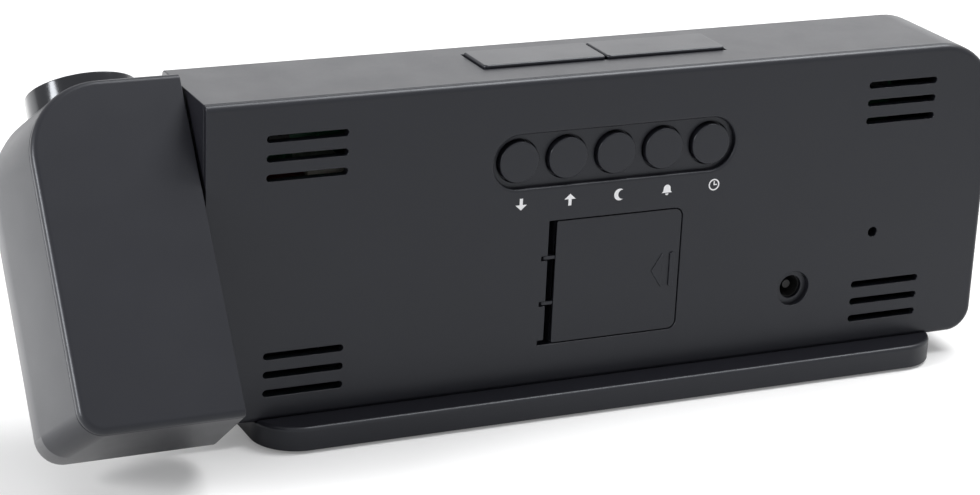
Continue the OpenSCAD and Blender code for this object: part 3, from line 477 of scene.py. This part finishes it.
def soft_piece(name, bm, materials, width_mm, broad_mm=0, is_broad=None):
    """A new object from bm, with its outward edges rounded by width_mm and its flat faces kept flat.

    The edges that is_broad picks are rounded by broad_mm instead.
    """
    widest = max(width_mm, broad_mm)
    mark_soft_edges(bm, width_mm, widest, is_broad)
    mesh = mesh_from(bm, name)
    for material in materials:
        mesh.materials.append(finishes[material])
    piece = link(name, mesh)
    round_edges(piece, widest)
    shade_by_area(piece.data)
    return piece


def round_edges(piece, widest_mm):
    """Rounds the marked edges for good, each by its share of widest_mm."""
    bevel = piece.modifiers.new("soft_edges", "BEVEL")
    bevel.limit_method = "WEIGHT"
    bevel.width = widest_mm * MM
    bevel.segments = 2
    bevel.use_clamp_overlap = False
    bevel.loop_slide = False
    bevel.miter_outer = "MITER_ARC"
    dg = bpy.context.evaluated_depsgraph_get()
    piece.data = bpy.data.meshes.new_from_object(piece.evaluated_get(dg))
    piece.modifiers.clear()


def stands_for(obj, node, slot):
    """The piece rides with a CAD node's body and is shown in its place."""
    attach(obj, nodes[node]["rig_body"])
    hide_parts(node)
    return obj


def skin(node, slot, width_mm, broad_mm=0, is_broad=None):
    """A copy of a CAD node in its own place, with soft edges."""
    piece = soft_piece(node + "_skin", merged(node), [slot], width_mm, broad_mm, is_broad)
    return stands_for(piece, node, slot)


def upright(point):
    """A point of the tilted projector, turned back upright about the pivot."""
    return PIVOT + Matrix.Rotation(-TILT, 3, "X") @ (point - PIVOT)


# ---------------------------------------------------------------- housings

EDGES = {  # slot and rounding in mm of each skin with one width of edge
    "front_housing": ("housing", 0.16), "battery_lid": ("housing", 0.08),
    "foot_bar": ("housing", 0.22), "foot_pad": ("pad", 0.2), "display_window": ("window", 0.15),
    "projector_cover": ("housing", 0.20), "focus_ring": ("key", 0.12), "lens_cell": ("black_part", 0.12),
    "left_top_pad": ("key", 0.10), "right_top_pad": ("key", 0.10),
}
COVER_EDGE = 0.16       # rounding of the rear cover's edges, in mm
KEY_RIM = 0.60          # rounding of the rim round the rear keys, in mm
BUTTON_EDGE = 0.14      # rounding of the rear keys, in mm
SHELL_EDGE = 0.22       # rounding of the projector shell's edges, in mm

KEY_ROW_Z = place_of("down_button")[2].z
KEY_ROW_REACH = 7 * MM  # the recess stays within this above and below the row
KEY_ROW_HALF = 31 * MM  # and within this to each side of the body's middle
ON_FACE = 0.01          # how far off the rear face, in mm, a corner still counts as on it

LEDGE_BAND = 0.3 * MM   # the window's corners this near its rear face move with it
LEDGE_GAP = 0.04 * MM

COLLAR_FOOT = 65.55 * MM  # height at which the lens collar leaves the upright shell's top
COLLAR_REACH = 11 * MM    # from the lens's axis, wider than the collar


def on_key_rim(edge):
    """Whether an edge of the rear cover is the outer rim of the recess that holds the keys."""
    ends = [vert.co for vert in edge.verts]
    return (min(end.y for end in ends) > (REAR_Y - ON_FACE) * MM
            and max(abs(end.z - KEY_ROW_Z) for end in ends) < KEY_ROW_REACH
            and max(abs(end.x) for end in ends) < KEY_ROW_HALF)


def clear_of_ledge(window):
    """Sets the window's rear face just off the ledge that it rests on, so that the two faces don't mix."""
    rear = place_of("display_window")[1].y
    for vert in window.data.vertices:
        if vert.co.y > rear - LEDGE_BAND:
            vert.co.y -= LEDGE_GAP


def make_housings():
    """Skins of the housings, the window, the foot, the pads and the keys."""
    skins = {node: skin(node, slot, width) for node, (slot, width) in EDGES.items()}
    clear_of_ledge(skins["display_window"])
    skin("rear_cover", "housing", COVER_EDGE, KEY_RIM, on_key_rim)
    for name in ("down", "up", "snooze", "alarm", "set"):
        skin(name + "_button", "key", BUTTON_EDGE)


def make_projector_shell():
    """The shell, with its lens collar polished and the rest satin."""
    mesh = skin("projector_shell", "housing", SHELL_EDGE).data
    mesh.materials.append(finishes["collar"])
    lens_x = place_of("lens_cell")[2].x
    for face in mesh.polygons:
        centre = upright(face.center)
        off_axis = math.hypot(centre.x - lens_x, centre.y)
        if centre.z > COLLAR_FOOT and off_axis < COLLAR_REACH:
            face.material_index = 1


# ---------------------------------------------------------------- display

SHOWN_TIME = "1028"
LIT = {  # which bars each figure lights: (across, up) from the figure's middle, in half sizes
    "top": (0, 1), "middle": (0, 0), "bottom": (0, -1),
    "right_up": (1, 0.5), "right_down": (1, -0.5), "left_up": (-1, 0.5), "left_down": (-1, -0.5),
}
FIGURES = {
    "0": ("top", "bottom", "right_up", "right_down", "left_up", "left_down"),
    "1": ("right_up", "right_down"),
    "2": ("top", "right_up", "middle", "left_down", "bottom"),
    "8": tuple(LIT),
}
DIGIT_X = (-46.5, -16.5, 16.5, 46.5)
DIGIT_HALF_W = 8.1      # from a figure's middle to the middle of its side bars
DIGIT_HALF_H = 15.1     # and to the middle of its top and bottom bars
COLON_REACH = 5         # what lies nearer the display's middle than this is the colon, which is on
BAR_EDGE = 0.12         # rounding of the light bars, in mm


def bar_is_lit(centre, middle_z):
    """Whether the light bar at this place is on for the shown time."""
    x, z = centre.x / MM, (centre.z - middle_z) / MM
    if abs(x) < COLON_REACH:
        return True
    digit = min(range(len(DIGIT_X)), key=lambda i: abs(DIGIT_X[i] - x))
    here = ((x - DIGIT_X[digit]) / DIGIT_HALF_W, z / DIGIT_HALF_H)
    name = min(LIT, key=lambda n: math.dist(LIT[n], here))
    return name in FIGURES[SHOWN_TIME[digit]]


def islands(bm):
    """The bmesh's faces, grouped by connected piece."""
    left = set(bm.faces)
    while left:
        group, found = set(), [left.pop()]
        while found:
            face = found.pop()
            group.add(face)
            for beside in (other for edge in face.edges for other in edge.link_faces):
                if beside in left:
                    left.discard(beside)
                    found.append(beside)
        yield group


def make_segments():
    """All light bars as one piece, with those of the shown time switched on."""
    bm = merged("digit_segments")
    middle_z = place_of("digit_segments")[2].z
    for group in islands(bm):
        centre = sum((face.calc_center_median() for face in group), Vector()) / len(group)
        for face in group:
            face.material_index = 1 if bar_is_lit(centre, middle_z) else 0
    bars = soft_piece("light_bars", bm, ["segment", "lit"], BAR_EDGE)
    stands_for(bars, "digit_segments", "segment")


# ---------------------------------------------------------------- printed signs under the rear keys

SIGN_Z = 41.35          # middle of the printed row, in mm as all sizes here
SIGN_H = 2.3
SIGN_LEFT = {"down": 61.3, "up": 71.35, "snooze": 81.7, "alarm": 91.75, "set": 101.85}  # from BODY_END
INK = 0.02              # how far the ink stands above the plastic
INK_DEPTH = 1.5 * INK   # and how thick it is, with part of it in the plastic


def arc(centre, radius, start, end, steps=20):
    """Points on an arc, with angles in degrees."""
    turn = [math.radians(start + (end - start) * i / steps) for i in range(steps + 1)]
    return [(centre[0] + radius * math.cos(a), centre[1] + radius * math.sin(a)) for a in turn]


def down_sign():
    """Arrow that points down."""
    half, stem, head, neck = SIGN_H / 2, 0.32, 1.15, -0.1
    right = [(stem, half), (stem, neck), (head, neck)]
    left = [(-x, y) for x, y in reversed(right)]
    return [left[2:] + right + [(0, -half)] + left[:2]]


def up_sign():
    """Arrow that points up."""
    return [[(x, -y) for x, y in reversed(down_sign()[0])]]


def moon_sign():
    """Crescent: the outer circle's arc, and back along a shifted inner one from where the two cross."""
    outer_r, inner_r, shift = SIGN_H / 2, 0.80 * SIGN_H / 2, 0.62
    cross_x = (outer_r ** 2 - inner_r ** 2 + shift ** 2) / (2 * shift)
    cross_y = math.sqrt(outer_r ** 2 - cross_x ** 2)
    outer_a = math.degrees(math.atan2(cross_y, cross_x))
    inner_a = math.degrees(math.atan2(cross_y, cross_x - shift))
    outer = arc((0, 0), outer_r, outer_a, 360 - outer_a, 28)
    inner = arc((shift, 0), inner_r, 360 - inner_a, inner_a, 24)
    return [outer + inner[1:-1]]


def bell_sign():
    """Bell with its clapper below."""
    waist, waist_z, brim, brim_z = 0.80, -0.35, 1.08, -0.62
    dome = arc((0, 0.25), 0.72, 0, 180, 16)
    skirt = [(-waist, waist_z), (-brim, brim_z), (brim, brim_z), (waist, waist_z)]
    clapper = arc((0, -0.78), 0.34, 180, 360, 10)
    return [dome + skirt, clapper]


def clock_sign():
    """Ring in two halves with two hands."""
    radius, band = SIGN_H / 2, 0.26
    half_hand, foot, long_hand, short_hand = 0.11, -0.1, 0.72, 0.62
    rings = [arc((0, 0), radius, start, start + 180) + arc((0, 0), radius - band, start + 180, start)
             for start in (0, 180)]
    minutes = [(-half_hand, foot), (half_hand, foot), (half_hand, long_hand), (-half_hand, long_hand)]
    hours = [(half_hand, foot), (short_hand, foot), (short_hand, half_hand), (half_hand, half_hand)]
    return rings + [minutes, hours]


SIGNS = {"down": down_sign, "up": up_sign, "snooze": moon_sign, "alarm": bell_sign, "set": clock_sign}


def ink_sheet(outlines, middle_x):
    """Closed bmesh of thin flat ink on the rear face, seen from the rear."""
    bm = bmesh.new()
    for points in outlines:
        corners = [bm.verts.new(Vector((middle_x - x, REAR_Y + INK, SIGN_Z + y)) * MM) for x, y in points]
        bm.faces.new(corners)
    inner = bmesh.ops.extrude_face_region(bm, geom=list(bm.faces))["geom"]
    for vert in (item for item in inner if isinstance(item, bmesh.types.BMVert)):
        vert.co.y -= INK_DEPTH * MM
    bmesh.ops.recalc_face_normals(bm, faces=bm.faces)
    return bm


def make_signs():
    """Five printed signs, each a piece of its own."""
    for name, sign in SIGNS.items():
        mesh = mesh_from(ink_sheet(sign(), BODY_END - SIGN_LEFT[name]), name + "_sign")
        mesh.materials.append(finishes["print"])
        sign_piece = link(name + "_sign", mesh)
        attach(sign_piece, "clock")


# ---------------------------------------------------------------- CAD nodes

# Nodes painted darker than their slot as painted shade: the photographed slots and socket show nothing
# bright behind them
OWN_FINISH = {"jack_contacts": "pin", "board_screws": "screw", "key_board_screws": "screw"}


def finish_cad_nodes():
    """Gives each CAD node its slot's finish, or its own, for those that no skin stands for."""
    slot_of = {part["node"]: part["material_slot"] for part in frame["record"]["subparts"]}
    for name, node in nodes.items():
        node.data.materials.clear()
        node.data.materials.append(finishes[OWN_FINISH.get(name, slot_of[name])])


# ---------------------------------------------------------------- studio

CAMERA_AT = Vector((231.86, 447.35, 204.94)) * MM
CAMERA_TURN = (70.3686, -2.5543, 155.6509)  # in degrees
LENS_MM = 101.594
SENSOR_MM = 36
CLIP_START = 0.01
FLOOR_HALF = 6.0        # metres
FLOOR_LIFT = 0.17       # extra light that makes the floor white to the camera
PAINTED_REFLECTION_GLOW = 1.5       # painted reflection: glow that the floor beyond the projector shows in reflections alone
REFLECTION_PATCH_X = (0.08, 0.14)   # where along X that glowing patch fades in, in metres
REFLECTION_PATCH_Y = (-0.06, 0.02)  # and where along -Y
ROOM = 0.57             # strength of the room's light on the object
ROOM_SHEEN = 0.95       # what polished surfaces reflect of the white room
ROOM_WHITE = (0.98, 0.985, 1.0, 1.0)
LIGHTS_AIM = (0.0, 0.0, 0.035)
LIGHTS = {  # place, width, height and watts
    "top_light": ((-0.45, -0.05, 0.90), 0.5, 0.5, 9.0),
    "front_wall_light": ((-1.2, -1.5, 0.6), 2.4, 1.2, 7.0),
    "side_window_light": ((1.3, 0.1, 0.55), 0.4, 0.4, 14.0),
}


def make_camera():
    """Camera from which the photograph was taken, worked out from the body's straight edges."""
    data = bpy.data.cameras.new("camera")
    data.lens = LENS_MM
    data.sensor_width = SENSOR_MM
    data.clip_start = CLIP_START
    camera = bpy.data.objects.new("camera", data)
    camera.location = CAMERA_AT
    camera.rotation_euler = Euler([math.radians(a) for a in CAMERA_TURN], "XYZ")
    bpy.context.scene.collection.objects.link(camera)
    bpy.context.scene.camera = camera


def area_light(name, at, width, height, power):
    """Rectangular light that faces the object."""
    data = bpy.data.lights.new(name, "AREA")
    data.shape = "RECTANGLE"
    data.size = width
    data.size_y = height
    data.energy = power
    lamp = bpy.data.objects.new(name, data)
    lamp.location = at
    lamp.rotation_euler = (Vector(LIGHTS_AIM) - Vector(at)).to_track_quat("-Z", "Y").to_euler()
    bpy.context.scene.collection.objects.link(lamp)


def make_floor():
    """Pale floor that reads white to the camera and keeps the object's soft shadow; beyond the projector
    it glows in reflections alone, as a painted reflection.
    """
    bm = bmesh.new()
    bmesh.ops.create_grid(bm, x_segments=1, y_segments=1, size=FLOOR_HALF)
    mesh = mesh_from(bm, "floor")
    f = Finish("pale_floor")
    seen = f.node("LightPath", out="Is Camera Ray")
    mottle = f.noise(160, 3.0, 0.5)
    colour = f.between(mottle, grey(0.75), grey(0.77))
    mirrored = f.node("LightPath", out="Is Glossy Ray")
    # painted reflection: a patch of floor beyond the projector that glows in glossy rays alone
    painted_reflection_patch = f.ramp(f.along("X"), *REFLECTION_PATCH_X) * f.ramp(f.along("Y") * -1.0, *REFLECTION_PATCH_Y)
    lift = f.node("Emission", None,
                  {"Color": grey(1.0), "Strength": seen * FLOOR_LIFT + mirrored * painted_reflection_patch * PAINTED_REFLECTION_GLOW})
    plain = f.node("BsdfDiffuse", None, {"Color": colour})
    f.end_in("OutputMaterial", f.node("AddShader", None, {0: plain, 1: lift}))
    mesh.materials.append(f.material)
    link("floor", mesh)


def make_room():
    """White room, which lights the object less than the camera and glass see it."""
    world = bpy.data.worlds.new("room")
    bpy.context.scene.world = world
    room = Shader(world)
    seen = room.node("LightPath", out="Is Camera Ray")
    through_glass = room.node("LightPath", out="Is Transmission Ray")
    direct = room.node("Math", {"operation": "MAXIMUM"}, {0: seen, 1: through_glass})
    strength = room.node("Mix", None, {0: direct, 2: ROOM, 3: 1.0})
    mirrored = room.node("LightPath", out="Is Glossy Ray")
    sheen = room.node("Mix", None, {0: mirrored, 2: strength, 3: ROOM_SHEEN})
    room.end_in("OutputWorld", room.node("Background", None, {"Color": ROOM_WHITE, "Strength": sheen}))


def make_studio():
    """Room, floor, lights and the plain view transform."""
    make_room()
    make_floor()
    for name, light in LIGHTS.items():
        area_light(name, *light)
    bpy.context.scene.view_settings.view_transform = "Standard"


make_camera()
finish_cad_nodes()
make_housings()
make_projector_shell()
make_segments()
make_signs()
make_studio()
